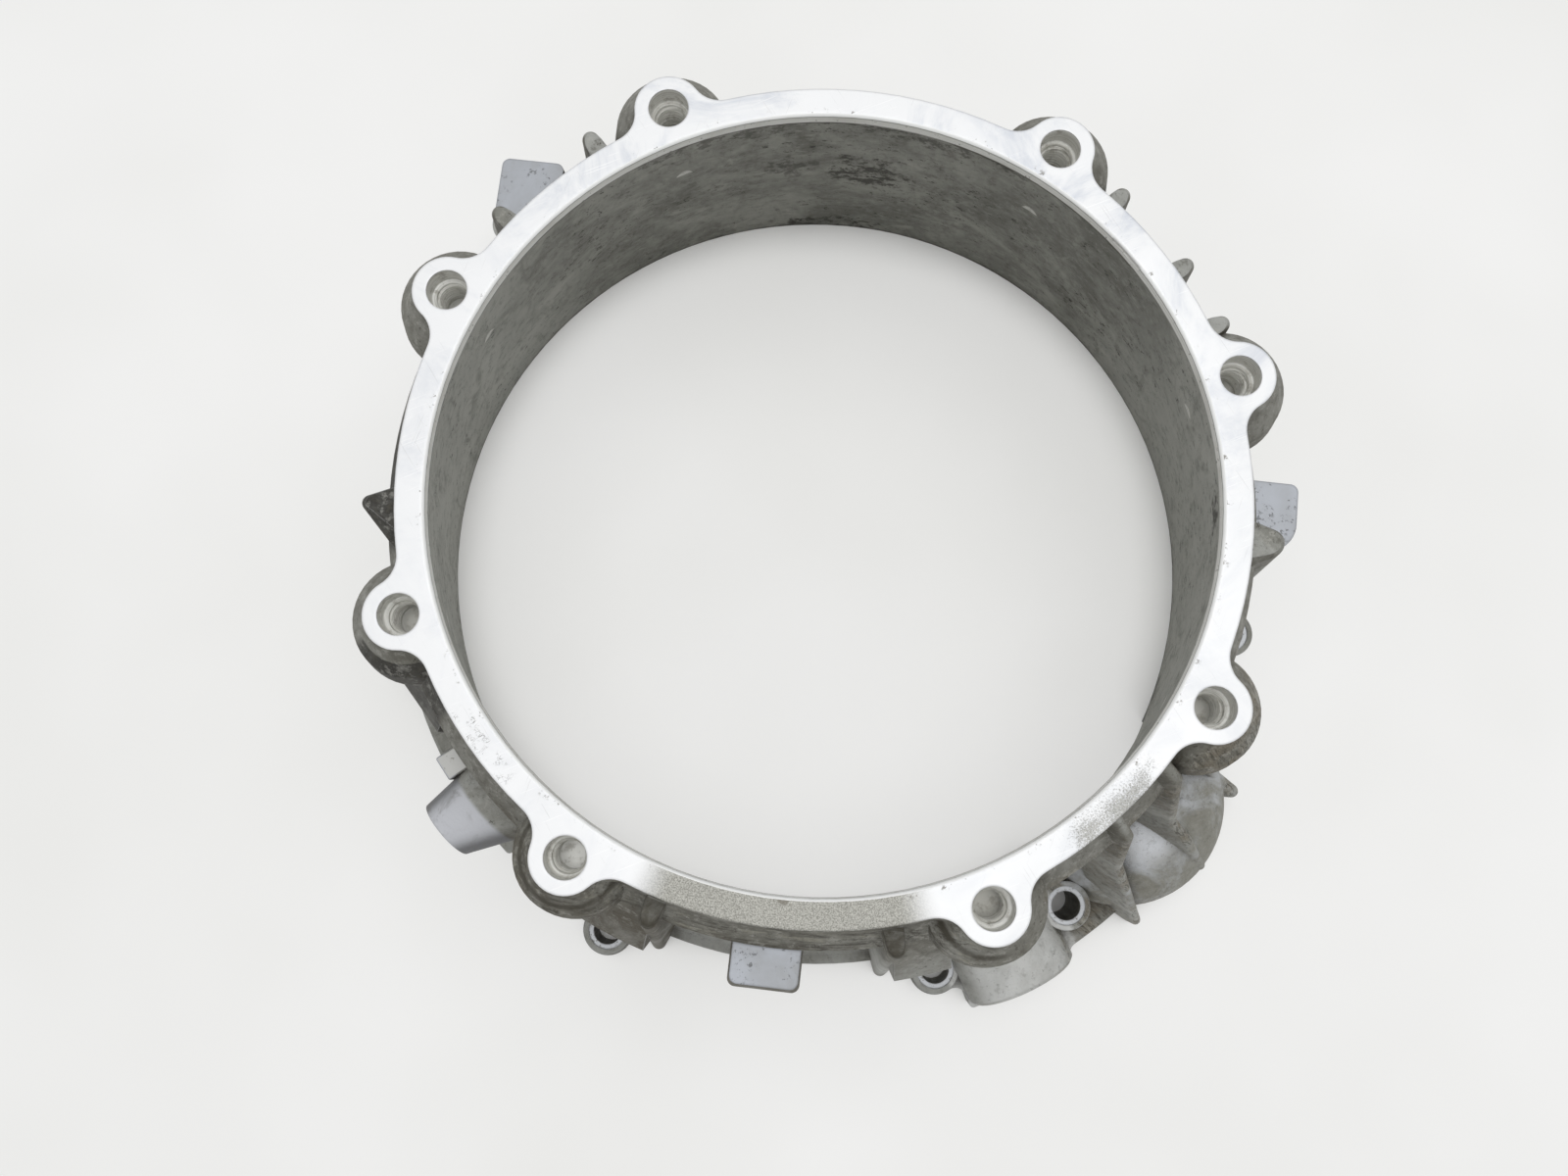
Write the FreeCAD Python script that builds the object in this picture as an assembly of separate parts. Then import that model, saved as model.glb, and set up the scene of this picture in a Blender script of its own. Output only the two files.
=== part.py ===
import FreeCAD, Part
import math
import os

# Transmission bell housing, one aluminium casting, in millimetres and degrees.
# The bore axis is Z, and Z = 0 is the engine face on which the casting stands.
# The machined transmission face looks up, and +Y runs along the symmetry axis of its bolt holes.

os.makedirs("parts", exist_ok=True)

# Bell body
HEIGHT = 158.0
FACE_OUTER_R = 150.0
FACE_RIM = 3.0
REGISTER_R = 139.6
REGISTER_DEPTH = 5.2
REGISTER_CHAMFER = 0.9
MOUTH_R = 172.0
WALL = 8.4
ROOT_BEVEL = 3.0

# Eared transmission flange: hole pairs stand at these angles from +X and mirrored about +Y.
# A knee is how far the edge has spread at some depth below the face
EAR_PAIRS = (62.0, 21.9, -23.3, -62.0)
EAR_CIRCLE_R = 153.2
EAR_TOP_R = 12.5
EAR_BLEND = 11.0
SKIRT_DEPTH = 24.0
RING_SPREAD = 10.0
RING_KNEE = (2.8, 13.5)
EAR_SPREAD = 10.6
EAR_KNEE = (8.7, 15.0)
EAR_ROOT_R = 8.0
EAR_ROOT_DROP = 26.0
RELIEF_R = 7.35
RELIEF_DEPTH = 7.5
THREAD_R = 5.9
THREAD_DEPTH = 22.0
LEDGE = 0.8

# Engine flange and its bolt bosses: radius and angle of each bolt
FLANGE_R = 185.0
FLANGE_T = 12.0
FLANGE_CORNER = 5.0
FLANGE_TIP = 2.0
FLANGE_EAR_R = 11.5
FLANGE_SECTORS = ((196.0, -158.0, -129.0), (215.5, -64.8, -51.3), (211.0, -52.0, -42.0))
PAIR_R = 194.0
PAIR_ANGLE = 22.35
PAIR_TOP = 15.0
SINGLE_BOLTS = ((191.5, -48.7), (190.3, -4.8), (191.5, 40.0), (191.5, 200.0))
CORNER_BOLT = (214.0, 138.5)
CORNER_WEB_SPREAD = 1.6
ENGINE_HOLE_R = 6.3
BOSS_R = 10.6
BOSS_TOP = 29.0
SPOT_FACE_R = 8.4
SPOT_FACE_DEPTH = 0.5
BOSS_CLEAR = 12.0
DOWEL_BOLTS = (SINGLE_BOLTS[1], SINGLE_BOLTS[3])
DOWEL_R = 8.0
DOWEL_DEPTH = 9.0

# Ribs that run down the wall. Their crests are lists of radius and height from the top down
RIB_TOP = 148.0
RIB_EDGE = 1.4
RIB_FOOT_R = 192.0
RIB_TIP_R = 3.3
RIB_HALF = 5.5
RIB_DEPTH = 20.0

# Slim ribs: angle and crest radius at the top. Wide ribs: also tip radius and both half widths
SLIM_RIBS = (
    (30.2, 162.3), (39.3, 162.3), (52.0, 162.3), (128.8, 164.6),
    (144.6, 163.3), (-74.6, 162.3), (-105.6, 162.3),
)
WIDE_RIBS = ((0.4, 165.0, 5.5, 13.0, 13.0), (187.4, 165.0, 3.2, 27.0, 11.5))

# Hips, upright fillings of the wall beside the ears: start and end angle, radius and top height
HIPS = ((-114.8, -105.6, 178.5, 100.0), (-74.6, -67.4, 178.5, 100.0))

# Flank at the lower left, straight in plan: both ends of its outer face, and the height of its shoulder
FLANK_START = (180.0, -157.0)
FLANK_END = (170.3, -144.2)
FLANK_SHOULDER = 100.0

# Cast locating pads with flat tops
PAD_TOP = 130.0
PAD_DEPTH = 13.0
PAD_CORNER = 3.0
PAD_DRAFT = 1.0
FRONT_PAD_DRAFT = 3.4
PAD_UNDERCUT = 26.0
FRONT_PAD_WIDTH = 24.5
FRONT_PAD_X = -1.5
FRONT_PAD_Y = -174.2
CORNER_PAD_X = -138.2
CORNER_PAD_Y = 123.4
CORNER_PAD_SIZE = 24.0
SIDE_BOSS_X = 175.9
SIDE_BOSS_Y_LOW = 1.5
SIDE_BOSS_Y_HIGH = 27.7
SIDE_BOSS_CORNER = 11.0

# Radial boss at the lower left with the lugs beside it
BARREL_ANGLE = -133.4
BARREL_Z = 104.0
BARREL_END_R = 186.0
BARREL_TIP_R = 11.5
BARREL_ROOT_R = 14.0
BARREL_FLARE = 20.0
LUG_ANGLE = -139.2
LUG_R = 173.4
LUG_TOP = 110.0
LUG_LENGTH = 10.0
LUG_WIDTH = 8.5
LUG_DROP = 24.0
LUG_EDGE = 0.8
STRIP_ANGLE = -146.6
STRIP_R = 193.0
STRIP_TOP = 20.0
STRIP_LENGTH = 9.0
STRIP_WIDTH = 6.0

# Starter side: hollow dome over the pinion, ridges across it and the saddle beside it
POCKET_CENTRE_R = 176.0
POCKET_ANGLE = -32.5
POCKET_R = 47.8
POCKET_WALL = 9.0
POCKET_SKIRT = 18.0
POCKET_TOP = 54.0
POCKET_ROOF_R = 24.0
POCKET_ROOF_Z = 36.0
SADDLE_ANGLE = -57.8
SADDLE_END_R = 212.0
SADDLE_CREST = 40.0
SADDLE_RADIUS = 25.0
SADDLE_EDGE = 1.5
RIDGE_ROOT_HALF = 7.0
RIDGES = (
    (-42.4, 2.4, ((150.0, 157.0), (160.5, 147.5), (180.5, 84.5), (215.5, 22.5), (221.5, 12.0), (221.5, 0.0))),
    (-33.0, 2.4, ((150.0, 157.0), (159.0, 150.0), (187.6, 71.5), (202.0, 57.0), (222.0, 26.0), (224.0, 0.0))),
    (-23.2, 3.2, ((150.0, 156.0), (160.0, 147.0), (178.0, 84.0), (207.0, 27.0), (220.5, 16.0), (220.5, 0.0))),
)

# Oil notch in the register
NOTCH_ANGLE = 44.8
NOTCH_LENGTH = 14.7
NOTCH_HEIGHT = 1.6
NOTCH_DEPTH = 0.8

# How far a cut runs past the face it opens, and how near counts as lying on a face
OVERRUN = 1.0
NEAR = 0.01


def at(radius, angle, z=0.0):
    turn = math.radians(angle)
    return FreeCAD.Vector(radius * math.cos(turn), radius * math.sin(turn), z)


def inner_r(z):
    """Radius of the flared inner wall at height z."""
    neck = HEIGHT - REGISTER_DEPTH
    return MOUTH_R + (REGISTER_R - MOUTH_R) * z / neck


def outer_r(z):
    """Radius of the flared outer wall at height z."""
    top = HEIGHT - SKIRT_DEPTH
    foot = inner_r(FLANGE_T) + WALL
    return foot + (FACE_OUTER_R + RING_SPREAD - foot) * (z - FLANGE_T) / (top - FLANGE_T)


def prism(points, vector):
    wire = Part.makePolygon(points + [points[0]])
    return Part.Face(wire).extrude(vector)


def revolved(profile):
    points = [FreeCAD.Vector(r, 0, z) for r, z in profile]
    wire = Part.makePolygon(points + [points[0]])
    axis = FreeCAD.Vector(0, 0, 1)
    return Part.Face(wire).revolve(FreeCAD.Vector(0, 0, 0), axis, 360)


def turned(shape, angle):
    shape.rotate(FreeCAD.Vector(0, 0, 0), FreeCAD.Vector(0, 0, 1), angle)
    return shape


def bell_body():
    """Solid flared body with the round engine flange, up to the foot of the eared flange."""
    return revolved([
        (0, 0),
        (FLANGE_R, 0),
        (FLANGE_R, FLANGE_T),
        (outer_r(FLANGE_T) + ROOT_BEVEL, FLANGE_T),
        (outer_r(FLANGE_T + ROOT_BEVEL), FLANGE_T + ROOT_BEVEL),
        (outer_r(HEIGHT - SKIRT_DEPTH), HEIGHT - SKIRT_DEPTH),
        (0, HEIGHT - SKIRT_DEPTH),
    ])


def ear_angles():
    angles = []
    for angle in EAR_PAIRS:
        angles += [angle, 180.0 - angle]
    return sorted(a % 360.0 for a in angles)


def skirt(axis_r, direction, knee, spread):
    """Edge of the flange about one axis: an upright rim that widens in two slopes to the skirt's foot."""
    knee_spread, knee_depth = knee
    foot = HEIGHT - SKIRT_DEPTH
    return revolved([
        (0, foot),
        (axis_r + direction * spread, foot),
        (axis_r + direction * knee_spread, HEIGHT - knee_depth),
        (axis_r, HEIGHT - FACE_RIM),
        (axis_r, HEIGHT),
        (0, HEIGHT),
    ])


def neck(angle, side):
    """Web between the ring and one side of an ear, hollowed so that it runs smoothly into the ring."""
    big = FACE_OUTER_R + EAR_BLEND
    reach = EAR_TOP_R + EAR_BLEND
    cosine = (big ** 2 + EAR_CIRCLE_R ** 2 - reach ** 2) / (2 * big * EAR_CIRCLE_R)
    spread = side * math.degrees(math.acos(cosine))
    foot = HEIGHT - SKIRT_DEPTH
    centre = at(big, angle + spread, foot)
    ear = at(EAR_CIRCLE_R, angle, foot)
    low = at(REGISTER_R, angle, foot)
    base = at(REGISTER_R, angle + spread, foot)
    web = prism([low, ear, centre, base], FreeCAD.Vector(0, 0, SKIRT_DEPTH))
    hollow = skirt(EAR_BLEND, -1, RING_KNEE, RING_SPREAD)
    hollow.translate(FreeCAD.Vector(centre.x, centre.y, 0))
    return web.cut(hollow)


def eared_flange():
    """Transmission flange: bolt ears on a ring, widening below the face, each with a tapered root."""
    shapes = [skirt(FACE_OUTER_R, 1, RING_KNEE, RING_SPREAD)]
    for angle in ear_angles():
        ear = skirt(EAR_TOP_R, 1, EAR_KNEE, EAR_SPREAD)
        ear.translate(at(EAR_CIRCLE_R, angle))
        foot = at(EAR_CIRCLE_R, angle, HEIGHT - SKIRT_DEPTH)
        down = FreeCAD.Vector(0, 0, -1)
        root = Part.makeCone(EAR_TOP_R + EAR_SPREAD, EAR_ROOT_R, EAR_ROOT_DROP, foot, down)
        shapes += [ear, root]
        shapes += [neck(angle, side) for side in (-1, 1)]
    return shapes


def disc(centre, radius):
    return Part.Face(Part.Wire(Part.makeCircle(radius, centre)))


def engine_bolts():
    """Radius, angle and boss height of every bolt of the engine flange."""
    bolts = []
    for axis in (90.0, 270.0):
        bolts += [(PAIR_R, axis + side * PAIR_ANGLE, PAIR_TOP) for side in (-1, 1)]
    bolts += [(radius, angle, BOSS_TOP) for radius, angle in SINGLE_BOLTS]
    return bolts + [(*CORNER_BOLT, BOSS_TOP)]


def flange_plate():
    """Engine flange with its bolt ears, starter bulge and saddle, inner corners rounded."""
    outline = disc(FreeCAD.Vector(0, 0, 0), FLANGE_R)
    others = [disc(at(radius, angle), FLANGE_EAR_R) for radius, angle, top in engine_bolts()]
    others.append(web_face(CORNER_BOLT, FLANGE_EAR_R))
    others.append(disc(at(POCKET_CENTRE_R, POCKET_ANGLE), POCKET_R))
    others += [sector_face(*sector) for sector in FLANGE_SECTORS]
    outline = outline.fuse(others).removeSplitter().Faces[0]
    outline = outline.makeOffset2D(FLANGE_CORNER).makeOffset2D(-FLANGE_CORNER)
    outline = outline.makeOffset2D(-FLANGE_TIP).makeOffset2D(FLANGE_TIP)
    return outline.extrude(FreeCAD.Vector(0, 0, FLANGE_T))


def sector_face(radius, start, end):
    """Part of the flange that reaches further out between two angles."""
    arc = Part.Arc(at(radius, start), at(radius, (start + end) / 2), at(radius, end)).toShape()
    sides = Part.makePolygon([at(radius, end), at(MOUTH_R, end), at(MOUTH_R, start), at(radius, start)])
    return Part.Face(Part.Wire([arc] + sides.Edges))


def web_face(place, half_width):
    """Plain web from the body out to a far bolt ear."""
    radius, angle = place
    out = at(1, angle)
    side = FreeCAD.Vector(-out.y, out.x, 0) * half_width
    inner = out * MOUTH_R
    outer = out * radius
    wide = side * CORNER_WEB_SPREAD
    points = [inner - wide, outer - side, outer + side, inner + wide]
    return Part.Face(Part.makePolygon(points + [points[0]]))


def engine_bosses():
    return [Part.makeCylinder(BOSS_R, top, at(radius, angle)) for radius, angle, top in engine_bolts()]


def rib_section(root_r, tip_centre_r, tip_r, left_half, right_half):
    """Section of a rib along +X: two flanks that meet a round tip."""
    root_left = FreeCAD.Vector(root_r, left_half, 0)
    root_right = FreeCAD.Vector(root_r, -right_half, 0)
    centre = FreeCAD.Vector(tip_centre_r, 0, 0)
    left = tangent_point(root_left, centre, tip_r, 1)
    right = tangent_point(root_right, centre, tip_r, -1)
    tip = centre + FreeCAD.Vector(tip_r, 0, 0)
    return Part.Wire([
        Part.LineSegment(root_right, right).toShape(),
        Part.Arc(right, tip, left).toShape(),
        Part.LineSegment(left, root_left).toShape(),
        Part.LineSegment(root_left, root_right).toShape(),
    ])


def tangent_point(start, centre, radius, side):
    """Point where the line from start touches the circle on the given side."""
    way = centre - start
    distance = way.Length
    base = math.atan2(-way.y, -way.x)
    swing = math.acos(radius / distance)
    angle = base - side * swing
    return centre + FreeCAD.Vector(math.cos(angle), math.sin(angle), 0) * radius


def beyond(point, normal):
    """Large block that fills the side of a plane to which the normal points."""
    size = HEIGHT * 4
    block = Part.makeBox(size, size, size, FreeCAD.Vector(-size / 2, -size / 2, 0))
    block.Placement = FreeCAD.Placement(point, FreeCAD.Rotation(FreeCAD.Vector(0, 0, 1), normal))
    return block


def crest_rib(angle, crest, tip_r, left_half, right_half, depth):
    """Rib with a round tip that follows a bent crest in one radial plane, mitred at each bend."""
    points = [FreeCAD.Vector(r, 0, z) for r, z in crest]
    ways = [(end - start).normalize() for start, end in zip(points, points[1:])]
    down = FreeCAD.Vector(0, 0, -1)
    mitres = [down] + [before + after for before, after in zip(ways, ways[1:])] + [down]
    section = Part.Face(rib_section(-depth, -tip_r, tip_r, left_half, right_half))
    pieces = []
    for i, way in enumerate(ways):
        start, end = points[i:i + 2]
        reach = (end - start).Length + depth * 4
        piece = section.extrude(FreeCAD.Vector(0, 0, -reach))
        piece.translate(FreeCAD.Vector(0, 0, depth * 2))
        lean = math.degrees(math.atan2(way.x, -way.z))
        piece.rotate(FreeCAD.Vector(0, 0, 0), FreeCAD.Vector(0, 1, 0), -lean)
        piece.translate(start)
        pieces.append(piece.common(beyond(start, mitres[i])).common(beyond(end, mitres[i + 1] * -1)))
    return turned(pieces[0].fuse(pieces[1:]), angle)


def wall_rib(angle, crest_r, tip_r, left_half, right_half):
    """Rib from just under the transmission face down to the flange, with a chamfered upper end."""
    slope = (RIB_FOOT_R - crest_r) / (RIB_TOP - FLANGE_T)
    crest = [
        (crest_r - RIB_EDGE, RIB_TOP),
        (crest_r + slope * RIB_EDGE, RIB_TOP - RIB_EDGE),
        (crest_r + slope * RIB_TOP, 0.0),
    ]
    return crest_rib(angle, crest, tip_r, left_half, right_half, RIB_DEPTH)


def ribs():
    shapes = [wall_rib(angle, crest_r, RIB_TIP_R, RIB_HALF, RIB_HALF) for angle, crest_r in SLIM_RIBS]
    return shapes + [wall_rib(*rib) for rib in WIDE_RIBS]


def rectangle(x0, y0, x1, y1, z, corner, far_corner):
    """Level rectangle with round corners; the two at x1 may have a larger radius at y0."""
    points = [(x0, y0, 0.0), (x1, y0, far_corner), (x1, y1, corner), (x0, y1, 0.0)]
    edges = []
    count = len(points)
    ends = []
    for i, (x, y, r) in enumerate(points):
        here = FreeCAD.Vector(x, y, z)
        back = FreeCAD.Vector(points[i - 1][0], points[i - 1][1], z) - here
        ahead = FreeCAD.Vector(points[(i + 1) % count][0], points[(i + 1) % count][1], z) - here
        back.normalize()
        ahead.normalize()
        middle = here + (back + ahead) * (r * (1 - math.sqrt(0.5)))
        ends.append((here + back * r, middle, here + ahead * r, r))
    for i, (start, middle, end, r) in enumerate(ends):
        if r > 0:
            edges.append(Part.Arc(start, middle, end).toShape())
        edges.append(Part.LineSegment(end, ends[(i + 1) % count][0]).toShape())
    return Part.Wire(edges)


def drafted_pad(x_out, y_low, y_high, low_corner, draft):
    """Flat-topped pad along +X: drafted sides, and an underside that slopes back into the wall."""
    foot = PAD_TOP - PAD_DEPTH
    heel = foot - PAD_UNDERCUT
    x_in = inner_r(HEIGHT) - WALL
    sections = []
    for z, out, spread in (
        (heel, outer_r(heel) - PAD_DRAFT, PAD_DRAFT),
        (foot, x_out + draft, PAD_DRAFT),
        (PAD_TOP, x_out, 0.0),
    ):
        low = y_low - spread
        high = y_high + spread
        sections.append(rectangle(x_in, low, out, high, z, PAD_CORNER, low_corner))
    return Part.makeLoft(sections, True, True)


def corner_pad():
    """Pad with two square faces along X and Y, on the upper left of the wall."""
    foot = PAD_TOP - PAD_DEPTH
    heel = foot - PAD_UNDERCUT
    angle = math.degrees(math.atan2(CORNER_PAD_Y, CORNER_PAD_X))
    sections = []
    on_wall = at(outer_r(heel) - PAD_DRAFT, angle)
    for z, out_x, out_y in (
        (heel, on_wall.x, on_wall.y),
        (foot, CORNER_PAD_X - PAD_DRAFT, CORNER_PAD_Y + PAD_DRAFT),
        (PAD_TOP, CORNER_PAD_X, CORNER_PAD_Y),
    ):
        sections.append(pad_plan(out_x, out_y, z))
    return Part.makeLoft(sections, True, True)


def pad_plan(out_x, out_y, z):
    """Level outline of the corner pad between its outer corner and its fixed inner corner."""
    inner_x = CORNER_PAD_X + CORNER_PAD_SIZE
    inner_y = CORNER_PAD_Y - CORNER_PAD_SIZE
    wire = rectangle(inner_y, -inner_x, out_y, -out_x, z, PAD_CORNER, PAD_CORNER)
    wire.rotate(FreeCAD.Vector(0, 0, 0), FreeCAD.Vector(0, 0, 1), 90)
    return wire


def pads():
    front = drafted_pad(-FRONT_PAD_Y, FRONT_PAD_X - FRONT_PAD_WIDTH / 2,
                        FRONT_PAD_X + FRONT_PAD_WIDTH / 2, PAD_CORNER, FRONT_PAD_DRAFT)
    side = drafted_pad(SIDE_BOSS_X, SIDE_BOSS_Y_LOW, SIDE_BOSS_Y_HIGH, SIDE_BOSS_CORNER, PAD_DRAFT)
    return [turned(front, -90), side, corner_pad()]


def barrel():
    """Round boss whose axis points out along a radius; it flares to the right at its root."""
    length = BARREL_END_R - inner_r(BARREL_Z)
    end = FreeCAD.Vector(BARREL_END_R, 0, BARREL_Z)
    inward = FreeCAD.Vector(-1, 0, 0)
    cone = Part.makeCone(BARREL_TIP_R, BARREL_ROOT_R, length, end, inward)
    flare = Part.makeCone(BARREL_TIP_R, BARREL_ROOT_R, length, end, inward)
    flare.rotate(end, FreeCAD.Vector(0, 0, 1), -BARREL_FLARE)
    outside = Part.makeBox(length, length * 2, BARREL_Z * 2, end - FreeCAD.Vector(0, length, BARREL_Z))
    return turned(cone.fuse(flare.cut(outside)), BARREL_ANGLE)


def lug(angle, out_r, top, length, width, drop):
    """Small square lug with a flat top, standing out of the wall."""
    corner = FreeCAD.Vector(out_r - width - WALL, -length / 2, top - drop)
    box = Part.makeBox(width + WALL, length, drop, corner)
    edges = [e for e in box.Edges if e.BoundBox.XMin > out_r - NEAR or e.BoundBox.ZMin > top - NEAR]
    return turned(box.makeFillet(LUG_EDGE, edges), angle)


def lugs():
    return [
        lug(LUG_ANGLE, LUG_R, LUG_TOP, LUG_LENGTH, LUG_WIDTH, LUG_DROP),
        lug(STRIP_ANGLE, STRIP_R, STRIP_TOP, STRIP_LENGTH, STRIP_WIDTH, STRIP_TOP),
    ]


def dome():
    """Starter dome about the pinion's axis; it leaves its short skirt at a slope and is level on top."""
    rise = POCKET_TOP - POCKET_SKIRT
    bow = (POCKET_R ** 2 + rise ** 2) / (2 * rise)
    half = math.asin(POCKET_R / bow) / 2
    middle = FreeCAD.Vector(bow * math.sin(half), 0, POCKET_TOP - bow + bow * math.cos(half))
    rim = FreeCAD.Vector(POCKET_R, 0, POCKET_SKIRT)
    crown = FreeCAD.Vector(0, 0, POCKET_TOP)
    foot = FreeCAD.Vector(POCKET_R, 0, 0)
    sides = Part.makePolygon([crown, FreeCAD.Vector(0, 0, 0), foot, rim])
    face = Part.Face(Part.Wire([Part.Arc(rim, middle, crown).toShape()] + sides.Edges))
    solid = face.revolve(FreeCAD.Vector(0, 0, 0), FreeCAD.Vector(0, 0, 1), 360)
    solid.translate(at(POCKET_CENTRE_R, POCKET_ANGLE))
    return solid


def hips():
    """Upright fillings of the wall that slope back to the skirt's foot at their upper end."""
    foot = HEIGHT - SKIRT_DEPTH
    blocks = []
    for start, end, radius, top in HIPS:
        inside = inner_r(foot) + WALL / 2
        points = [(inside, 0.0), (radius, 0.0), (radius, top), (outer_r(foot), foot), (inside, foot)]
        wire = Part.makePolygon([FreeCAD.Vector(r, 0, z) for r, z in points + points[:1]])
        block = Part.Face(wire).revolve(FreeCAD.Vector(0, 0, 0), FreeCAD.Vector(0, 0, 1), end - start)
        blocks.append(turned(block, start))
    return blocks


def flank():
    """Steep block that fills out the wall between the left ear and the lugs."""
    foot = HEIGHT - SKIRT_DEPTH
    inside = inner_r(foot) + WALL / 2
    start_r, start = FLANK_START
    end_r, end = FLANK_END
    plan = [at(inside, start), at(*FLANK_START), at(*FLANK_END), at(inside, end)]
    block = prism(plan, FreeCAD.Vector(0, 0, foot))
    along = at(*FLANK_END) - at(*FLANK_START)
    reach = (start_r + end_r) / 2 - outer_r(foot)
    slope = at(-reach, (start + end) / 2, foot - FLANK_SHOULDER)
    return block.cut(beyond(at(*FLANK_START, FLANK_SHOULDER), along.cross(slope)))


def ridges():
    """Ridges that start at the face's edge and run out over the starter bulge to the flange edge."""
    shapes = []
    for angle, tip_r, crest in RIDGES:
        shapes.append(crest_rib(angle, crest, tip_r, RIDGE_ROOT_HALF, RIDGE_ROOT_HALF, RIB_DEPTH))
    return shapes


def saddle():
    """Half-round boss beside the starter bulge, its axis along a radius."""
    inside = inner_r(SADDLE_CREST)
    axis_z = SADDLE_CREST - SADDLE_RADIUS
    barrel = Part.makeCylinder(SADDLE_RADIUS, SADDLE_END_R - inside,
                               FreeCAD.Vector(inside, 0, axis_z), FreeCAD.Vector(1, 0, 0))
    end = [e for e in barrel.Edges if e.BoundBox.XMin > SADDLE_END_R - NEAR]
    barrel = barrel.makeChamfer(SADDLE_EDGE, end)
    keep = Part.makeBox(SADDLE_END_R, SADDLE_RADIUS * 2, SADDLE_CREST, FreeCAD.Vector(0, -SADDLE_RADIUS, 0))
    return turned(barrel.common(keep), SADDLE_ANGLE)


def cavity():
    """Register bore with its chamfer, then the flared inside down to the mouth."""
    below = -OVERRUN
    above = HEIGHT + OVERRUN
    return revolved([
        (0, below),
        (inner_r(below), below),
        (REGISTER_R, HEIGHT - REGISTER_DEPTH),
        (REGISTER_R, HEIGHT - REGISTER_CHAMFER),
        (REGISTER_R + REGISTER_CHAMFER, HEIGHT),
        (REGISTER_R + REGISTER_CHAMFER, above),
        (0, above),
    ])


def pocket_hollow():
    """Room for the starter pinion under the dome, with a flat roof."""
    radius = POCKET_R - POCKET_WALL
    knee = POCKET_SKIRT - POCKET_WALL / 2
    hollow = revolved([
        (0, -OVERRUN),
        (radius, -OVERRUN),
        (radius, knee),
        (POCKET_ROOF_R, POCKET_ROOF_Z),
        (0, POCKET_ROOF_Z),
    ])
    hollow.translate(at(POCKET_CENTRE_R, POCKET_ANGLE))
    return hollow


def drill(radius, depth, mouth, down=True):
    way = FreeCAD.Vector(0, 0, -1 if down else 1)
    start = mouth - way * OVERRUN
    return Part.makeCylinder(radius, depth + OVERRUN, start, way)


def ear_holes():
    """Blind threaded holes in the ears, plain at the thread's full radius, each with a relief and a ledge."""
    cuts = []
    for angle in ear_angles():
        mouth = at(EAR_CIRCLE_R, angle, HEIGHT)
        cuts.append(drill(RELIEF_R, RELIEF_DEPTH, mouth))
        ledge = Part.makeCone(RELIEF_R - LEDGE / 2, THREAD_R, LEDGE,
                              mouth - FreeCAD.Vector(0, 0, RELIEF_DEPTH), FreeCAD.Vector(0, 0, -1))
        cuts.append(ledge)
        cuts.append(drill(THREAD_R, THREAD_DEPTH, mouth))
    return cuts


def engine_holes():
    """Through holes with spot faces on top, and two dowel seats in the engine face."""
    cuts = []
    for radius, angle, top in engine_bolts():
        cuts.append(drill(ENGINE_HOLE_R, BOSS_TOP * 2, at(radius, angle), False))
        mouth = at(radius, angle, top + BOSS_CLEAR)
        cuts.append(drill(SPOT_FACE_R, BOSS_CLEAR + SPOT_FACE_DEPTH, mouth))
    for radius, angle in DOWEL_BOLTS:
        cuts.append(drill(DOWEL_R, DOWEL_DEPTH, at(radius, angle), False))
    return cuts


def oil_notch():
    """Shallow slot in the register wall."""
    corner = FreeCAD.Vector(REGISTER_R - NOTCH_DEPTH, -NOTCH_LENGTH / 2, HEIGHT - REGISTER_DEPTH / 2)
    slot = Part.makeBox(NOTCH_DEPTH * 2, NOTCH_LENGTH, NOTCH_HEIGHT, corner)
    return turned(slot, NOTCH_ANGLE)


def casting():
    body = bell_body()
    added = eared_flange() + [flange_plate(), flank(), dome(), saddle(), barrel()] + hips()
    added += engine_bosses() + ribs() + ridges() + pads() + lugs()
    body = body.fuse(added)
    body = body.cut([cavity(), pocket_hollow(), oil_notch()] + ear_holes() + engine_holes())
    return body.Solids[0].removeSplitter()


bell_housing = casting()
bell_housing.exportStep("parts/bell_housing.step")
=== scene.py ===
import math

import bmesh
import bpy
from mathutils import Matrix, Vector


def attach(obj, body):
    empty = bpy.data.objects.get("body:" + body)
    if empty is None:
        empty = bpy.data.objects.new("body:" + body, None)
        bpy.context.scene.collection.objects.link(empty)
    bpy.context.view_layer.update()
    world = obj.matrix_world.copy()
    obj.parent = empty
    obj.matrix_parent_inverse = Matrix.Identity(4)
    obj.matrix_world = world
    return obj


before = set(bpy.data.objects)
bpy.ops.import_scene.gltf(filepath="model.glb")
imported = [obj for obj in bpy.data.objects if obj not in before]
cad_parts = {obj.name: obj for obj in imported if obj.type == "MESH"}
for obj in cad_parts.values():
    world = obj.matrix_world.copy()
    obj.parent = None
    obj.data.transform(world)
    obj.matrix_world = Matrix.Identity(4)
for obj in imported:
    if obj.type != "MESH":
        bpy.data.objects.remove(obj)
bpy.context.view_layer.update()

# Places on the casting, in metres
TOP = 0.158
REGISTER_BOTTOM = 0.1528
RIB_TOP = 0.148
PAD_TOP = 0.130
LUG_TOP = 0.110
SADDLE_TOP = 0.042
SPOT_FACES = (0.0285, 0.0145)
BARREL_HEIGHTS = (0.088, 0.1195)
DOME_HEIGHTS = (0.013, 0.056)
DOME_CENTRE = (0.14844, -0.09456)
DOME_R = 0.0478
CROWN = (0.1539, -0.1087)
INNER_FOOT_R = 0.1735
INNER_SLOPE = 0.212
RING_R = (0.1518, 0.1525)

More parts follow.
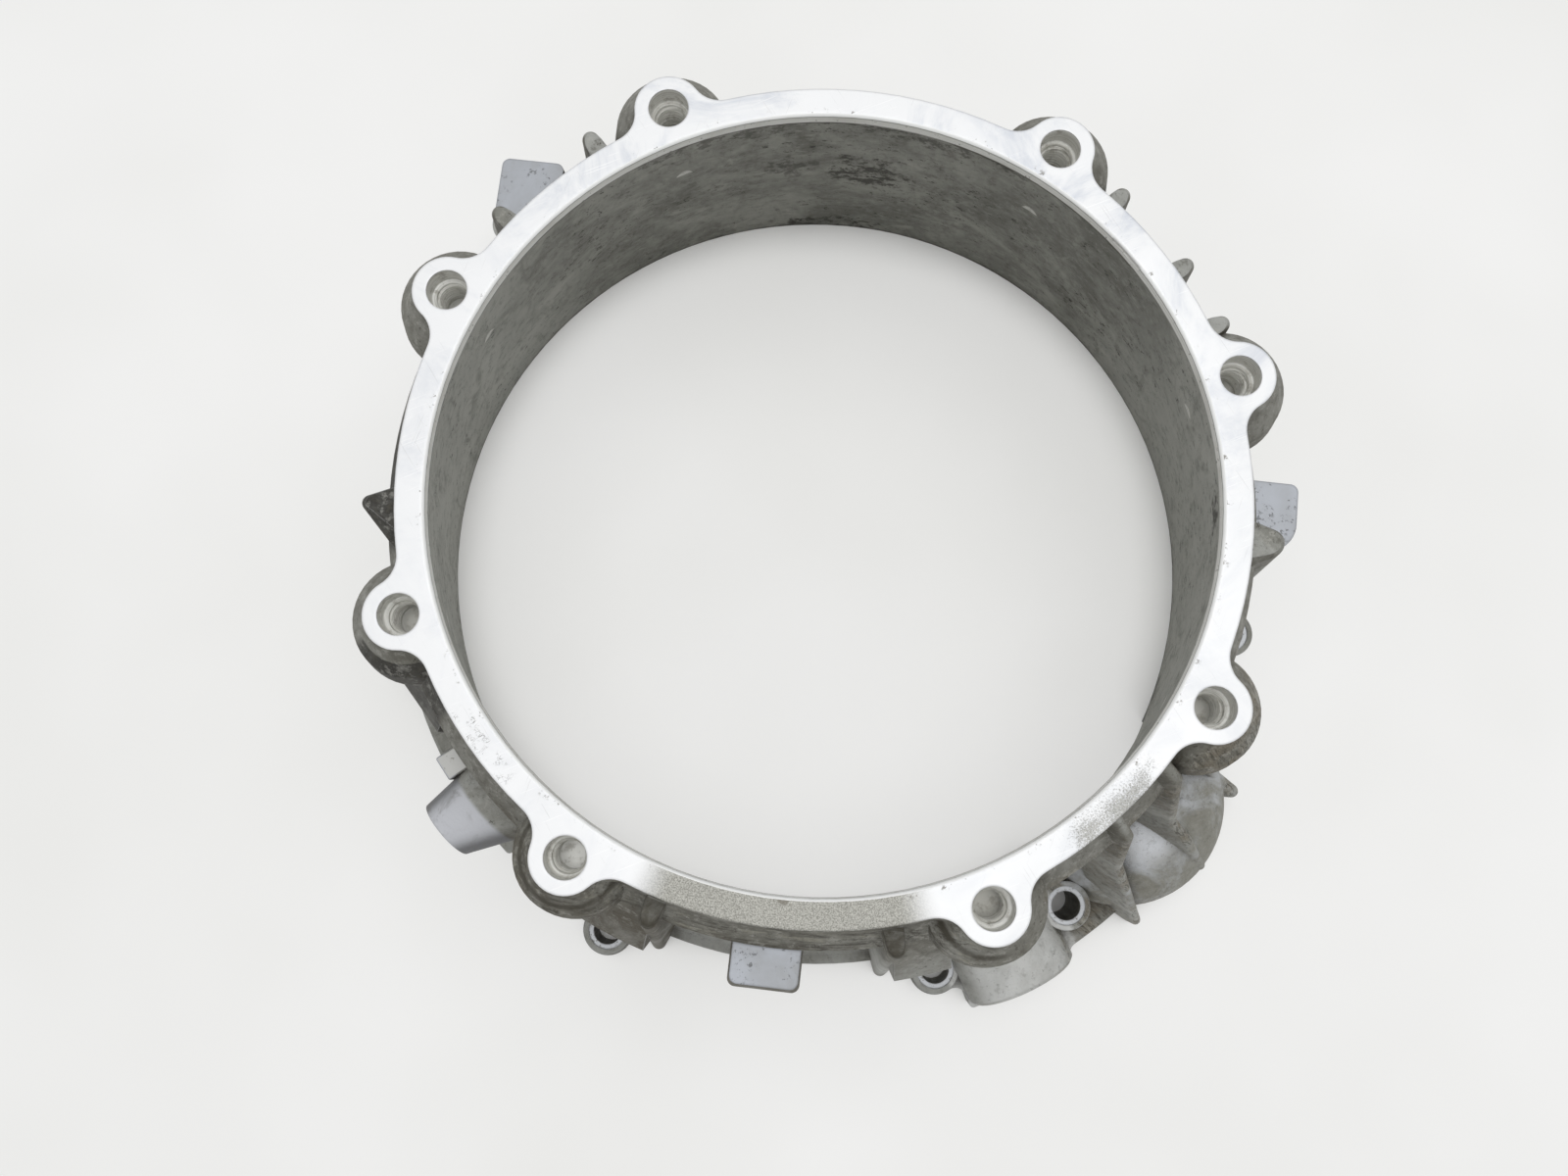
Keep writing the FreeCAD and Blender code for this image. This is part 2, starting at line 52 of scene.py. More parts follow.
# Sectors of the casting, in degrees from +X
FRONT_SAND = (-104.0, -74.0)
SIDE_SAND = (-44.0, -39.0)
SCRIBBLE = (-141.0, -131.0)
STARTER_SIDE = (-50.0, -15.0)
SADDLE = (-66.0, -50.0)
BARREL = (-142.0, -124.5)
LUG = (-143.0, -135.5)
BUTTRESS = (175.0, 192.0)
FLANK = (205.0, 216.0)
LOW_FRONT = (-128.0, -88.0)
FRONT_RIBS = (-128.0, -64.0)
BELOW_FACE = (-122.0, -66.0)

# Black dirt on the inner wall: first and last angle, lowest and highest z, strength
INNER_DIRT = (
    (85.0, 99.0, -0.01, 0.01, 0.95), (1.0, 5.5, 0.134, 0.144, 0.9), (66.0, 92.0, 0.148, 0.153, 0.7),
    (104.0, 124.0, 0.148, 0.153, 0.6), (85.0, 92.0, 0.08, 0.11, 0.85), (100.0, 104.0, 0.09, 0.11, 0.6),
    (-24.0, -14.0, -0.01, 0.015, 0.6),
)

# Ear holes and their thread
EAR_PAIRS = (62.0, 21.9, -23.3, -62.0)
EAR_CIRCLE_R = 0.1532
EAR_HOLE_R = 0.0077
THREAD_R = 0.0059
THREAD_SUNK = 0.00006
THREAD_TALL = 0.00075
THREAD_PITCH = 0.00175
THREAD_TOP = 0.1488
THREAD_TURNS = 6.5
THREAD_STEPS = 40

# Table: half its size, and how far it lies below the casting
TABLE = 12.0
TABLE_GAP = 0.0002


def srgb(r, g, b):
    """Linear colour of an 8-bit sRGB value."""
    return tuple(((c / 255 + 0.055) / 1.055) ** 2.4 if c > 10 else c / 255 / 12.92 for c in (r, g, b))


class Nodes:
    """Short calls for building a node tree."""

    def __init__(self, tree):
        self.tree = tree

    def add(self, kind, inputs=None, **props):
        node = self.tree.nodes.new(kind)
        for key, value in props.items():
            setattr(node, key, value)
        for key, value in (inputs or {}).items():
            self.put(node.inputs[key], value)
        return node

    def put(self, socket, value):
        if isinstance(value, bpy.types.NodeSocket):
            self.tree.links.new(value, socket)
        elif isinstance(value, tuple) and len(value) == 3 and socket.type == "RGBA":
            socket.default_value = (*value, 1.0)
        else:
            socket.default_value = value

    def math(self, operation, a, b=0.0, clamp=False):
        node = self.add("ShaderNodeMath", {0: a, 1: b}, operation=operation)
        node.use_clamp = clamp
        return node.outputs[0]

    def times(self, *values):
        total = values[0]
        for value in values[1:]:
            total = self.math("MULTIPLY", total, value)
        return total

    def noise(self, vector, scale, detail=4.0, rough=0.55, distortion=0.0):
        node = self.add("ShaderNodeTexNoise", {
            "Vector": vector, "Scale": scale, "Detail": detail, "Roughness": rough, "Distortion": distortion})
        return node.outputs["Fac"]

    def stretched(self, vector, size, turn=0.0):
        """Coordinates in which one unit is as long as size, on axes turned about Z."""
        inputs = {"Vector": vector, "Scale": size, "Rotation": (0.0, 0.0, math.radians(turn))}
        return self.add("ShaderNodeMapping", inputs, vector_type="TEXTURE").outputs[0]

    def hairs(self, vector, turn, level):
        """Thin straight scratches that run one way and break off."""
        line = self.noise(self.stretched(vector, (0.02, 0.00035, 0.02), turn), 1.0, 2.0, 0.5)
        return self.band(line, level, level + 0.06)

    def band(self, value, low, high, to_low=0.0, to_high=1.0):
        """Smooth step of value from low to high."""
        node = self.add("ShaderNodeMapRange", {
            "Value": value, "From Min": low, "From Max": high, "To Min": to_low, "To Max": to_high})
        node.interpolation_type = "SMOOTHSTEP"
        return node.outputs[0]

    def window(self, value, low, high, soft):
        """One between low and high, fading out over soft beyond them."""
        return self.times(self.band(value, low - soft, low), self.band(value, high + soft, high))

    def near(self, value, aim, reach):
        return self.band(self.math("ABSOLUTE", self.math("SUBTRACT", value, aim)), reach, reach / 4)

    def away(self, x, y, centre):
        """Distance from an upright line through centre."""
        flat = self.add("ShaderNodeCombineXYZ", {0: x, 1: y, 2: 0.0}).outputs[0]
        node = self.add("ShaderNodeVectorMath", {0: flat, 1: (*centre, 0.0)}, operation="DISTANCE")
        return node.outputs["Value"]

    def mix(self, factor, a, b):
        node = self.add("ShaderNodeMix", data_type="RGBA")
        self.put(node.inputs[0], factor)
        self.put(node.inputs[6], a)
        self.put(node.inputs[7], b)
        return node.outputs[2]

    def blend(self, factor, a, b):
        node = self.add("ShaderNodeMix", data_type="FLOAT")
        self.put(node.inputs[0], factor)
        self.put(node.inputs[2], a)
        self.put(node.inputs[3], b)
        return node.outputs[0]


def material(name):
    made = bpy.data.materials.new(name)
    made.use_nodes = True
    made.node_tree.nodes.clear()
    return made, Nodes(made.node_tree)


class Spot:
    """Where on the casting a point lies: its place, height, radius, angle and slope."""

    def __init__(self, n):
        self.place = n.add("ShaderNodeTexCoord").outputs["Object"]
        self.x, self.y, self.z = n.add("ShaderNodeSeparateXYZ", {0: self.place}).outputs[:3]
        self.normal = n.add("ShaderNodeNewGeometry").outputs["Normal"]
        self.up = n.add("ShaderNodeSeparateXYZ", {0: self.normal}).outputs[2]
        self.radius = n.away(self.x, self.y, (0.0, 0.0))
        turn = n.math("ARCTAN2", self.y, self.x)
        self.angle = n.math("MULTIPLY", turn, math.degrees(1.0))
        self.turned = n.math("FLOORED_MODULO", self.angle, 360.0)
        self.level = n.band(self.up, 0.985, 0.998)
        self.high = n.band(self.z, 0.09, 0.135)
        self.steep = n.band(n.math("ABSOLUTE", self.up), 0.86, 0.42)
        self.patches = n.noise(self.place, 30.0, 5.0, 0.62, 0.4)
        self.coarse = n.noise(self.place, 10.0, 3.0)
        self.grit = n.noise(self.place, 1300.0, 2.0, 0.7)
        ragged = n.math("SUBTRACT", n.noise(self.place, 55.0, 4.0, 0.7), 0.5)
        self.ragged_angle = n.math("ADD", self.angle, n.times(ragged, 26.0))
        self.ragged_z = n.math("ADD", self.z, n.times(ragged, 0.05))


def milled_face(n, s):
    """Bright milled face: cloudy smears, hair scratches, and two zones worn sandy grey."""
    cloud = n.noise(s.place, 24.0, 5.0, 0.68, 1.4)
    smear = n.times(n.band(cloud, 0.42, 0.72), n.band(s.y, -0.04, 0.11, 0.25, 0.8))
    colour = n.mix(smear, srgb(234, 235, 236), srgb(196, 201, 210))
    for turn, level, tone in ((28.0, 0.66, 250), (-52.0, 0.69, 196), (76.0, 0.7, 200)):
        lines = n.times(n.hairs(s.place, turn, level), n.band(s.patches, 0.4, 0.6, 0.2, 0.8))
        colour = n.mix(lines, colour, srgb(tone, tone, tone))
    grains = n.noise(s.place, 2100.0, 2.0, 0.7)
    sand = n.mix(n.band(grains, 0.34, 0.66), srgb(118, 117, 109), srgb(178, 177, 169))
    sand = n.mix(n.band(n.noise(s.place, 320.0, 4.0, 0.75), 0.6, 0.7, 0.0, 0.5), sand, srgb(96, 92, 80))
    front = n.times(n.window(s.angle, *FRONT_SAND, 6.0), n.band(s.patches, 0.2, 0.42, 0.75, 0.95))
    amount = n.times(n.window(s.ragged_angle, *SIDE_SAND, 11.0), n.band(s.patches, 0.25, 0.6, 0.35, 1.0),
                     n.band(s.radius, 0.1405, 0.1475, 0.45, 1.0), 0.25)
    side = n.band(n.math("ADD", n.noise(s.place, 1500.0, 6.0, 0.85), amount), 0.63, 0.75, 0.0, 0.8)
    colour = n.mix(front, colour, sand)
    colour = n.mix(side, colour, sand)
    loops = n.noise(n.stretched(s.place, (0.004, 0.0022, 0.004), 38.0), 1.0, 3.0, 0.6, 1.6)
    broken = n.band(n.noise(s.place, 190.0, 2.0), 0.42, 0.55, 0.0, 0.85)
    scribble = n.times(n.near(loops, 0.5, 0.035), broken)
    where = n.times(n.window(s.angle, *SCRIBBLE, 1.5), n.window(s.radius, 0.1435, 0.1485, 0.001))
    colour = n.mix(n.times(scribble, where), colour, srgb(140, 140, 138))
    nicks = n.band(n.noise(s.place, 210.0, 4.0, 0.75), 0.6, 0.67, 0.0, 0.8)
    nicks = n.times(n.band(s.radius, 0.1432, 0.1412), nicks)
    return n.mix(nicks, colour, srgb(110, 106, 96)), n.math("MAXIMUM", front, side)


def register_band(n, s):
    """Turned band below the face, with short nicks, tick marks and a painted shade line at its foot."""
    turned = n.noise(n.stretched(s.place, (0.3, 0.3, 0.00035)), 1.0, 2.0, 0.6)
    colour = n.mix(n.band(turned, 0.35, 0.65), srgb(226, 226, 221), srgb(250, 250, 247))
    colour = n.mix(n.band(s.patches, 0.45, 0.7, 0.0, 0.5), colour, srgb(200, 198, 190))
    around = n.add("ShaderNodeCombineXYZ", {0: s.angle, 1: 0.0, 2: 0.0}).outputs[0]
    ticks = n.noise(around, 1.6, 3.0, 0.8)
    colour = n.mix(n.band(ticks, 0.7, 0.73, 0.0, 0.75), colour, srgb(88, 84, 76))
    nicks = n.band(n.noise(s.place, 420.0, 4.0, 0.75), 0.62, 0.68, 0.0, 0.7)
    colour = n.mix(nicks, colour, srgb(96, 92, 82))
    rim = n.band(s.z, TOP - 0.0011, TOP - 0.0009)
    colour = n.mix(n.times(n.near(s.z, TOP - 0.0012, 0.0005), 0.6), colour, srgb(110, 108, 100))
    colour = n.mix(rim, colour, srgb(246, 247, 246))
    # Painted shade: a dark line along the foot of the band.
    foot = n.times(n.band(s.z, REGISTER_BOTTOM + 0.0008, REGISTER_BOTTOM + 0.0003),
                   n.band(s.coarse, 0.35, 0.6, 0.5, 1.0))
    return n.mix(foot, colour, srgb(74, 71, 62))


def inner_wall(n, s):
    """Cast inside: mottled warm grey with pits, run marks, patches of black dirt, and painted light on its left
    and right sides.
    """
    cloud = n.noise(s.place, 17.0, 6.0, 0.66, 0.9)
    colour = n.mix(n.band(cloud, 0.36, 0.64), srgb(124, 124, 117), srgb(168, 168, 161))
    # Painted light: the inner wall is lighter towards its left and right sides.
    painted_side_light = n.band(n.math("ABSOLUTE", s.x), 0.1, 0.145)
    colour = n.mix(n.times(painted_side_light, 0.6), colour, srgb(196, 197, 191))
    runs = n.noise(n.stretched(s.place, (0.012, 0.012, 0.05)), 1.0, 5.0, 0.68, 0.8)
    colour = n.mix(n.band(runs, 0.5, 0.72, 0.0, 0.6), colour, srgb(112, 111, 103))
    pale = n.noise(s.place, 62.0, 5.0, 0.7, 0.7)
    colour = n.mix(n.band(pale, 0.56, 0.72, 0.0, 0.6), colour, srgb(188, 187, 180))
    mottle = n.noise(s.place, 180.0, 5.0, 0.8)
    colour = n.mix(n.band(mottle, 0.52, 0.64, 0.0, 0.35), colour, srgb(186, 185, 178))
    colour = n.mix(n.band(mottle, 0.48, 0.36, 0.0, 0.5), colour, srgb(92, 91, 83))
    pits = n.times(n.band(n.noise(s.place, 240.0, 5.0, 0.8, 0.3), 0.58, 0.62), n.band(s.patches, 0.46, 0.58))
    colour = n.mix(n.times(pits, 0.9), colour, srgb(44, 42, 35))
    torn = n.band(n.noise(s.place, 150.0, 5.0, 0.75), 0.44, 0.55)
    for start, end, low, high, strength in INNER_DIRT:
        place = n.times(n.window(s.ragged_angle, start, end, 2.0), n.window(s.ragged_z, low, high, 0.005))
        colour = n.mix(n.times(place, torn, strength), colour, srgb(48, 45, 37))
    lip = n.times(n.band(s.z, 0.004, 0.0005), n.band(s.patches, 0.4, 0.6, 0.3, 0.8))
    return n.mix(lip, colour, srgb(74, 72, 64))


def wall_tone(n, s, streaks):
    """Mottled grey with painted shade on steep faces near the top, painted light on steep faces lower down, and
    dark run marks where it is steep, above all near the top.
    """
    colour = n.mix(n.band(s.patches, 0.34, 0.66), srgb(128, 128, 121), srgb(170, 171, 167))
    cloud = n.band(n.noise(s.place, 21.0, 6.0, 0.68, 0.8), 0.36, 0.66)
    # Painted light: steep faces low down are lightened towards a paler cloudy grey.
    low_painted_light = n.mix(cloud, srgb(150, 150, 144), srgb(190, 191, 187))
    colour = n.mix(n.times(n.math("SUBTRACT", 1.0, s.high), s.steep, 0.9), colour, low_painted_light)
    # Painted shade: steep faces near the top are darkened.
    steep_painted_shade = n.times(s.steep, s.high, n.band(s.coarse, 0.25, 0.7, 0.75, 1.0))
    colour = n.mix(steep_painted_shade, colour, srgb(112, 110, 100))
    runs = n.times(n.band(streaks, 0.42, 0.68), s.steep, n.blend(s.high, 0.3, 0.75))
    return n.mix(runs, colour, srgb(78, 75, 65))


def starter_fur(n, s, colour, where):
    """Brown dust with dark and pale hairs on the starter side."""
    brown = n.band(n.noise(s.place, 85.0, 5.0, 0.72, 0.5), 0.4, 0.62, 0.1, 0.75)
    colour = n.mix(n.times(where, brown), colour, srgb(112, 103, 86))
    fur = n.noise(n.stretched(s.place, (0.0009, 0.0045, 0.0045), 55.0), 1.0, 4.0, 0.75, 0.6)
    colour = n.mix(n.times(where, n.band(fur, 0.5, 0.62), 0.8), colour, srgb(58, 56, 45))
    return n.mix(n.times(where, n.band(fur, 0.42, 0.34), 0.7), colour, srgb(166, 163, 150))


def dome_and_saddle(n, s, colour):
    """Bluish cloudy tone on the starter dome with a painted highlight at its crown, and painted light on the
    saddle's upward-facing top beside it.
    """
    on_dome = n.times(n.band(n.away(s.x, s.y, DOME_CENTRE), DOME_R + 0.0005, DOME_R - 0.002),
                      n.window(s.z, *DOME_HEIGHTS, 0.001), n.band(s.up, 0.2, 0.5))
    cloud = n.band(n.noise(s.place, 38.0, 5.0, 0.66, 0.8), 0.4, 0.66)
    colour = n.mix(n.times(on_dome, 0.85), colour, n.mix(cloud, srgb(138, 137, 128), srgb(192, 195, 199)))
    # Painted highlight: a bright patch round the dome's crown.
    crown_highlight = n.band(n.away(s.x, s.y, CROWN), 0.019, 0.004, 0.0, 0.9)
    colour = n.mix(n.times(crown_highlight, on_dome), colour, srgb(234, 237, 242))
    on_saddle = n.times(n.window(s.angle, *SADDLE, 0.8), n.band(s.radius, 0.178, 0.18),
                        n.band(s.z, SADDLE_TOP, SADDLE_TOP - 0.002))
    # Painted light: the saddle is pale only where it faces up.
    pale = n.times(on_saddle, n.band(s.up, 0.35, 0.8), n.band(s.patches, 0.3, 0.6, 0.6, 0.95))
    return n.mix(pale, colour, srgb(216, 217, 215))


def stains_and_shade(n, s, colour, streaks):
    """Near black on the left buttress and flank, partly dirt and partly painted shade; brown low at the front;
    smeared below the face.
    """
    # Partly dirt, partly painted shade: the left buttress and flank are darkened near black.
    left = n.math("MAXIMUM", n.window(s.turned, *BUTTRESS, 2.0), n.window(s.turned, *FLANK, 1.5))
    left = n.times(left, n.band(s.radius, 0.1508, 0.1518), n.band(s.z, 0.1495, 0.149), n.band(s.z, 0.07, 0.11))
    colour = n.mix(n.times(left, n.band(streaks, 0.3, 0.6, 0.7, 0.97)), colour, srgb(38, 36, 31))
    low_front = n.times(n.window(s.angle, *LOW_FRONT, 5.0), n.band(s.radius, 0.1565, 0.16), s.steep)
    colour = n.mix(n.times(low_front, n.band(streaks, 0.35, 0.65, 0.5, 0.95)), colour, srgb(74, 68, 54))
    below_face = n.times(n.window(s.angle, *BELOW_FACE, 6.0), n.window(s.z, 0.135, 0.156, 0.004),
                         n.band(s.radius, 0.1505, 0.1512))
    smears = n.noise(n.stretched(s.place, (0.03, 0.0035, 0.0035)), 1.0, 5.0, 0.7, 1.2)
    colour = n.mix(n.times(below_face, n.band(smears, 0.5, 0.64), 0.85), colour, srgb(58, 55, 46))
    return n.mix(n.times(below_face, n.band(smears, 0.46, 0.36), 0.6), colour, srgb(158, 156, 142))


def barrel_metal_and_light(n, s):
    """Smooth barrel: a painted highlight along its top and painted shade round its sides, with smudges."""
    colour = n.mix(n.band(s.up, 0.55, 0.95), srgb(120, 121, 124), srgb(202, 204, 210))
    smudge = n.band(n.noise(s.place, 90.0, 4.0, 0.7, 0.6), 0.52, 0.72, 0.0, 0.6)
    return n.mix(smudge, colour, srgb(118, 117, 114))


def cast_skin(n, s, hollow, edge_highlight):
    """Sand-cast outside: pale where it looks up, brown and dark where it is steep or cornered, the darkness
    partly painted shade, with painted highlights on its edges.
    """
    streaks = n.noise(n.stretched(s.place, (0.009, 0.009, 0.07)), 1.0, 5.0, 0.68, 0.7)
    furred = n.blend(n.math("MAXIMUM", s.high, n.band(s.up, 0.25, 0.42)), 0.5, 1.0)
    starter_side = n.times(n.window(s.ragged_angle, *STARTER_SIDE, 9.0), n.band(s.radius, 0.156, 0.162), furred)
    colour = starter_fur(n, s, wall_tone(n, s, streaks), starter_side)
    colour = dome_and_saddle(n, s, colour)
    colour = stains_and_shade(n, s, colour, streaks)

    # Painted shade in corners from ambient occlusion, broken up by brown dirt streaks.
    corner_dirt_and_shade = n.times(n.band(hollow, 0.8, 0.3), n.band(streaks, 0.3, 0.65, 0.45, 1.0))
    colour = n.mix(n.times(corner_dirt_and_shade, 0.85), colour, srgb(58, 52, 41))
    # Painted shade: the starter side's cavities are darkened from ambient occlusion.
    cavity_shade = n.times(n.band(hollow, 0.72, 0.4), starter_side, n.band(s.z, 0.03, 0.045))
    colour = n.mix(n.times(cavity_shade, 0.7), colour, srgb(40, 38, 29))

    mottle = n.noise(s.place, 210.0, 5.0, 0.8)
    speckled = n.blend(s.high, 0.5, 1.0)
    colour = n.mix(n.times(n.band(mottle, 0.52, 0.64, 0.0, 0.4), speckled), colour, srgb(182, 181, 174))
    colour = n.mix(n.times(n.band(mottle, 0.48, 0.36, 0.0, 0.5), speckled), colour, srgb(80, 77, 67))
    specks = n.band(n.noise(s.place, 300.0, 4.0, 0.8), 0.6, 0.66, 0.0, 0.8)
    colour = n.mix(n.times(specks, speckled), colour, srgb(56, 51, 40))

    # Barrel colour with its painted highlight and shade, fading out in hollows.
    on_barrel = n.times(n.window(s.angle, *BARREL, 0.6), n.window(s.z, *BARREL_HEIGHTS, 0.001),
                        n.band(s.radius, 0.169, 0.171))
    colour = n.mix(n.times(on_barrel, n.band(hollow, 0.3, 0.75, 0.2, 0.9)), colour, barrel_metal_and_light(n, s))
    on_lug = n.times(n.window(s.angle, *LUG, 0.3), n.near(s.z, LUG_TOP, 0.0012), s.level)
    colour = n.mix(on_lug, colour, n.mix(specks, srgb(206, 206, 203), srgb(120, 116, 106)))
    # Painted highlight on convex edges.
    colour = n.mix(n.times(edge_highlight, n.band(s.patches, 0.35, 0.55, 0.25, 0.8)), colour, srgb(198, 199, 198))
    rib_tops = n.times(n.window(s.angle, *FRONT_RIBS, 3.0), n.near(s.z, RIB_TOP, 0.0022),
                       n.band(s.radius, *RING_R))
    return n.mix(n.times(rib_tops, n.band(streaks, 0.3, 0.6, 0.65, 0.95)), colour, srgb(58, 54, 43))


def hole_mask(n, s):
    """One inside the eight ear holes. The left half is folded onto the right one."""
    folded = n.math("ABSOLUTE", s.x)
    nearest = None
    for angle in EAR_PAIRS:
        turn = math.radians(angle)
        gap = n.away(folded, s.y, (EAR_CIRCLE_R * math.cos(turn), EAR_CIRCLE_R * math.sin(turn)))
        nearest = gap if nearest is None else n.math("MINIMUM", nearest, gap)
    return n.times(n.band(nearest, EAR_HOLE_R, EAR_HOLE_R - 0.0002), n.window(s.z, 0.12, TOP - 0.0004, 0.0003))


def hole_metal(n, s):
    """Drilled metal with rings from the tool and oily dirt."""
    rings = n.noise(n.stretched(s.place, (0.05, 0.05, 0.0003)), 1.0, 2.0, 0.6)
    colour = n.mix(n.band(rings, 0.35, 0.65), srgb(198, 197, 190), srgb(238, 238, 234))
    oily = n.band(n.noise(s.place, 260.0, 4.0, 0.7), 0.5, 0.7, 0.0, 0.55)
    return n.mix(oily, colour, srgb(132, 127, 115))


def cast_aluminium():
    """The whole casting: machined where its flat faces and bores are, sand-cast elsewhere."""
    made, n = material("cast_aluminium")
    s = Spot(n)
    hollow = n.add("ShaderNodeAmbientOcclusion", {"Distance": 0.016}, samples=6, only_local=True).outputs["AO"]
    bevel = n.add("ShaderNodeBevel", {"Radius": 0.0011}, samples=6).outputs[0]
    bend = n.add("ShaderNodeVectorMath", {0: bevel, 1: s.normal}, operation="DOT_PRODUCT").outputs["Value"]
    # Painted highlight mask: convex edges found from the bevel normal, kept out of hollows.
    edge_highlight = n.times(n.band(bend, 0.97, 0.8), n.band(hollow, 0.6, 0.85))

    at_top = n.times(n.band(s.z, TOP - 0.0006, TOP - 0.0002), s.level)
    in_register = n.times(n.band(s.z, REGISTER_BOTTOM - 0.0003, REGISTER_BOTTOM + 0.0001),
                          n.band(s.radius, 0.14075, 0.14055))
    foot_r = n.math("ADD", s.radius, n.times(s.z, INNER_SLOPE))
    inside = n.times(n.band(s.z, REGISTER_BOTTOM + 0.0001, REGISTER_BOTTOM - 0.0003),
                     n.band(foot_r, INNER_FOOT_R, INNER_FOOT_R - 0.001))
    on_pad = n.times(n.near(s.z, PAD_TOP, 0.0008), s.level)
    upper, lower = (n.near(s.z, height, 0.0004) for height in SPOT_FACES)
    on_spot = n.times(n.math("MAXIMUM", upper, lower), s.level)
    in_hole = hole_mask(n, s)

    face, worn = milled_face(n, s)
    colour = cast_skin(n, s, hollow, edge_highlight)
    colour = n.mix(inside, colour, inner_wall(n, s))
    colour = n.mix(in_register, colour, register_band(n, s))
    colour = n.mix(at_top, colour, face)
    colour = n.mix(in_hole, colour, hole_metal(n, s))
    pits = n.band(n.noise(s.place, 560.0, 4.0, 0.75), 0.56, 0.62, 0.0, 0.85)
    pad = n.mix(n.band(s.patches, 0.35, 0.7), srgb(172, 176, 183), srgb(154, 156, 158))
    pad = n.mix(n.times(pits, n.band(n.noise(s.place, 120.0), 0.46, 0.56)), pad, srgb(92, 93, 94))
    colour = n.mix(on_pad, colour, pad)
    colour = n.mix(n.times(on_spot, 0.9), colour, n.mix(pits, srgb(196, 199, 203), srgb(110, 108, 102)))

    machined = n.math("MAXIMUM", at_top, n.math("MAXIMUM", in_register, in_hole), clamp=True)
    fair = n.math("MAXIMUM", machined, n.math("MAXIMUM", on_pad, on_spot), clamp=True)
    rough = n.blend(fair, 0.6, 0.42)
    rough = n.math("ADD", rough, n.times(n.math("SUBTRACT", s.patches, 0.5), 0.25))
    metal = n.blend(fair, 0.1, 0.22)
    sandy = n.times(at_top, worn)
    grain = n.noise(s.place, 430.0, 3.0, 0.7)
    rise = n.math("ADD", n.times(grain, 0.65), n.times(s.grit, 0.3))
    rise = n.math("ADD", rise, n.times(n.noise(s.place, 150.0, 4.0, 0.65), 1.8))
    rise = n.times(rise, n.math("SUBTRACT", 1.0, n.times(fair, 0.94)))
    rise = n.math("ADD", rise, n.times(s.grit, sandy, 0.3))
    bump = n.add("ShaderNodeBump", {
        "Strength": 0.55, "Distance": 0.0005, "Height": rise, "Normal": bevel}).outputs[0]
    shader = n.add("ShaderNodeBsdfPrincipled", {
        "Base Color": colour, "Roughness": rough, "Metallic": metal,
        "Specular IOR Level": 0.35, "Normal": bump})
    n.add("ShaderNodeOutputMaterial", {"Surface": shader.outputs[0]})
    return made


def thread_metal():
    made, n = material("thread_metal")
    s = Spot(n)
    shader = n.add("ShaderNodeBsdfPrincipled", {
        "Base Color": hole_metal(n, s), "Roughness": n.band(s.grit, 0.3, 0.7, 0.35, 0.5), "Metallic": 0.35})
    n.add("ShaderNodeOutputMaterial", {"Surface": shader.outputs[0]})
    return made


def threads():
    """Thread of the eight ear holes: a flat-topped crest wound down the wall, running out at both ends."""
    build = bmesh.new()
    steps = int(THREAD_TURNS * THREAD_STEPS)
    for pair in EAR_PAIRS:
        for angle in (pair, 180.0 - pair):
            axis = Matrix.Rotation(math.radians(angle), 4, "Z") @ Vector((EAR_CIRCLE_R, 0.0, 0.0))
            rows = [thread_row(build, axis, i, steps) for i in range(steps + 1)]
            for before, after in zip(rows, rows[1:]):
                for i in range(4):
                    j = (i + 1) % 4
                    build.faces.new((before[i], before[j], after[j], after[i]))
            build.faces.new(rows[0])
            build.faces.new(rows[-1])
    bmesh.ops.recalc_face_normals(build, faces=build.faces)
    mesh = bpy.data.meshes.new("ear_threads")
    build.to_mesh(mesh)
    build.free()
    mesh.materials.append(thread_metal())
    made = bpy.data.objects.new("ear_threads", mesh)
    bpy.context.scene.collection.objects.link(made)
    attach(made, "root")


def thread_row(build, axis, step, steps):
    turn = math.tau * step / THREAD_STEPS
    z = THREAD_TOP - THREAD_PITCH * step / THREAD_STEPS
    grown = min(1.0, 4.0 * step / THREAD_STEPS, 4.0 * (steps - step) / THREAD_STEPS)
    crest = THREAD_R - THREAD_TALL * max(grown, 0.02)
    root = THREAD_R + THREAD_SUNK
    half = THREAD_PITCH * 0.46
    flat = THREAD_PITCH * 0.07
    row = []
    for radius, lift in ((root, half), (crest, flat), (crest, -flat), (root, -half)):
        around = Vector((radius * math.cos(turn), radius * math.sin(turn), z + lift))
        row.append(build.verts.new(axis + around))
    return row


def table_top():
    """Pale table, lifted towards white for the camera alone where nothing shades it."""
    made, n = material("table_top")
    place = n.add("ShaderNodeTexCoord").outputs["Object"]
    colour = n.mix(n.band(n.noise(place, 3.5, 3.0), 0.3, 0.7), srgb(244, 244, 242), srgb(250, 250, 249))
    camera_ray = n.add("ShaderNodeLightPath").outputs["Is Camera Ray"]
    open_sky = n.add("ShaderNodeAmbientOcclusion", {"Distance": 0.03}, samples=6).outputs["AO"]
    plain = n.add("ShaderNodeBsdfPrincipled", {
        "Base Color": colour, "Roughness": 0.75, "Specular IOR Level": 0.2})
    glow = n.add("ShaderNodeEmission", {"Color": colour, "Strength": 1.0})
    share = n.times(camera_ray, n.band(open_sky, 0.1, 0.75), 0.6)
    both = n.add("ShaderNodeMixShader", {0: share, 1: plain.outputs[0], 2: glow.outputs[0]})
    n.add("ShaderNodeOutputMaterial", {"Surface": both.outputs[0]})
    return made


